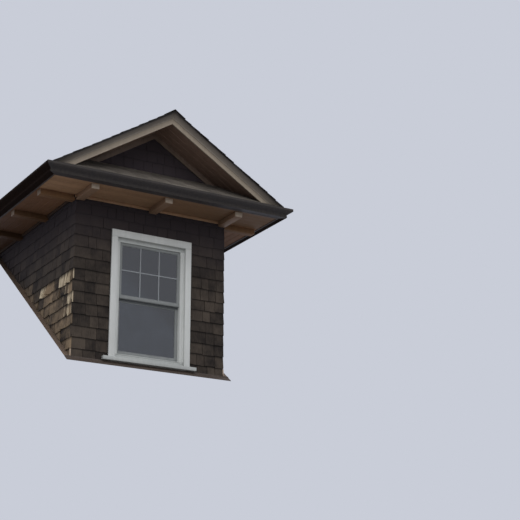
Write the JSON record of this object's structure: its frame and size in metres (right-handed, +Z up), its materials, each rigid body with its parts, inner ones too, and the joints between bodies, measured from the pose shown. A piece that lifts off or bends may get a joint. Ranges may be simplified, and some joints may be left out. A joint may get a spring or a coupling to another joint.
{
  "type": "gabled roof dormer with a fixed sash window",
  "caption": "Gabled roof dormer with shingled walls, boxed eaves on beam tails, gutters, a pent roof and a sash window.",
  "frame": {"origin": "middle of the front wall's flat foot, halfway through the wall's thickness", "axes": "+X to the right as seen from the street, +Y back into the house roof, +Z up"},
  "size_m": [2.956, 4.2781, 2.847],
  "materials": {
    "wall_shingles": "weathered cedar shingles, stained dark grey-brown, bleached in places",
    "framing_lumber": "sawn softwood, unpainted",
    "roof_boards": "plain softwood boards, unpainted",
    "roof_shingles": "mineral-faced asphalt shingles, mixed browns and tans",
    "pent_shingles": "mineral-faced asphalt shingles, grey-taupe",
    "brown_trim": "boards with flat brown paint, weathered",
    "tail_paint": "beam tails with worn beige-brown paint",
    "pale_trim": "barge boards with pale beige paint",
    "crown_trim": "crown moulding with grey-taupe paint",
    "gutter_metal": "charcoal baked enamel on formed sheet, dusty",
    "window_paint": "white exterior paint",
    "sash_paint": "white exterior paint, greyed",
    "window_glass": "clear sealed glass unit",
    "flashing_metal": "grey-taupe painted sheet, dull"
  },
  "bodies": {
    "root": {"front_wall": "wall_shingles", "gable_wall": "wall_shingles", "left_cheek": "wall_shingles", "right_cheek": "wall_shingles", "left_sole_plate": "framing_lumber", "right_sole_plate": "framing_lumber", "ridge_board": "framing_lumber", "left_rafters": "framing_lumber", "right_rafters": "framing_lumber", "left_roof_deck": "roof_boards", "right_roof_deck": "roof_boards", "left_roof_shingles": "roof_shingles", "right_roof_shingles": "roof_shingles", "ridge_cap": "roof_shingles", "pent_deck": "roof_boards", "pent_shingles": "pent_shingles", "front_fascia": "brown_trim", "left_fascia": "brown_trim", "right_fascia": "brown_trim", "front_soffit": "brown_trim", "left_soffit": "brown_trim", "right_soffit": "brown_trim", "bed_moulds": "brown_trim", "front_tails": "tail_paint", "left_tails": "tail_paint", "right_tails": "tail_paint", "left_barge_board": "pale_trim", "right_barge_board": "pale_trim", "left_rake_crown": "crown_trim", "right_rake_crown": "crown_trim", "left_rake_soffit": "brown_trim", "right_rake_soffit": "brown_trim", "frieze_boards": "brown_trim", "front_gutter": "gutter_metal", "left_gutter": "gutter_metal", "right_gutter": "gutter_metal", "window_frame": "window_paint", "window_casing": "window_paint", "window_sill": "window_paint", "upper_sash": "sash_paint", "lower_sash": "sash_paint", "window_glass": "window_glass", "apron_flashing": "flashing_metal", "left_step_flashing": "flashing_metal", "right_step_flashing": "flashing_metal"}
  },
  "joints": []
}
